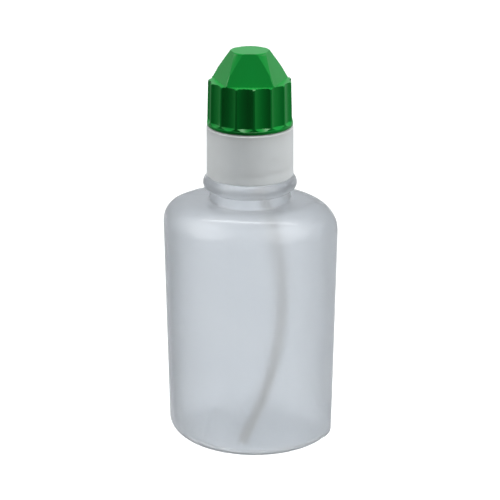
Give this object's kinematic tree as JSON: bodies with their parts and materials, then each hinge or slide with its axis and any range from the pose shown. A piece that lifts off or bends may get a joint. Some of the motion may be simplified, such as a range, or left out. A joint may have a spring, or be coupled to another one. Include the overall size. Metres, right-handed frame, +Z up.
{
  "type": "squeeze dropper bottle",
  "caption": "Oval translucent squeeze bottle with a screw-on nozzle closure, a bowed dip tube and a fluted green screw cap with a faceted cone.",
  "frame": {"origin": "centre of the plane the bottle rests on, under the neck axis", "axes": "+Z up the neck axis, X along the wide way of the oval body, Y along its narrow way"},
  "size_m": [0.0546, 0.0436, 0.1244],
  "materials": {
    "bottle_ldpe": "satin translucent natural LDPE",
    "closure_pp": "satin translucent natural PP",
    "gasket_foam": "matt closed-cell PE foam",
    "holder_ldpe": "satin natural LDPE",
    "tip_ldpe": "satin natural LDPE",
    "tube_ldpe": "satin translucent extruded LDPE",
    "cap_green_pp": "semi-gloss green PP",
    "liner_foam": "matt closed-cell PE foam"
  },
  "bodies": {
    "bottle": {"bottle": "bottle_ldpe"},
    "gasket": {"closure_gasket": "gasket_foam"},
    "closure": {"nozzle_closure": "closure_pp", "tube_holder": "holder_ldpe", "dropper_tip": "tip_ldpe", "dip_tube": "tube_ldpe"},
    "liner": {"cap_liner": "liner_foam"},
    "cap": {"cap": "cap_green_pp"}
  },
  "joints": [
    {"name": "closure_lift", "type": "slide", "parent": "bottle", "child": "gasket", "axis": [0, 0, 1], "range_m": [0, 0.00795]},
    {"name": "closure_turn", "type": "hinge", "parent": "gasket", "child": "closure", "pos_m": [0, 0, 0.0925], "axis": [0, 0, 1], "range_deg": [0, 900]},
    {"name": "cap_lift", "type": "slide", "parent": "closure", "child": "liner", "axis": [0, 0, 1], "range_m": [0, 0.006]},
    {"name": "cap_turn", "type": "hinge", "parent": "liner", "child": "cap", "pos_m": [0, 0, 0.1125], "axis": [0, 0, 1], "range_deg": [0, 720]}
  ],
  "couplings": [
    {"joint": "closure_lift", "follows": "closure_turn", "m_per_rad": 0.00050611},
    {"joint": "cap_lift", "follows": "cap_turn", "m_per_rad": 0.00047746}
  ]
}
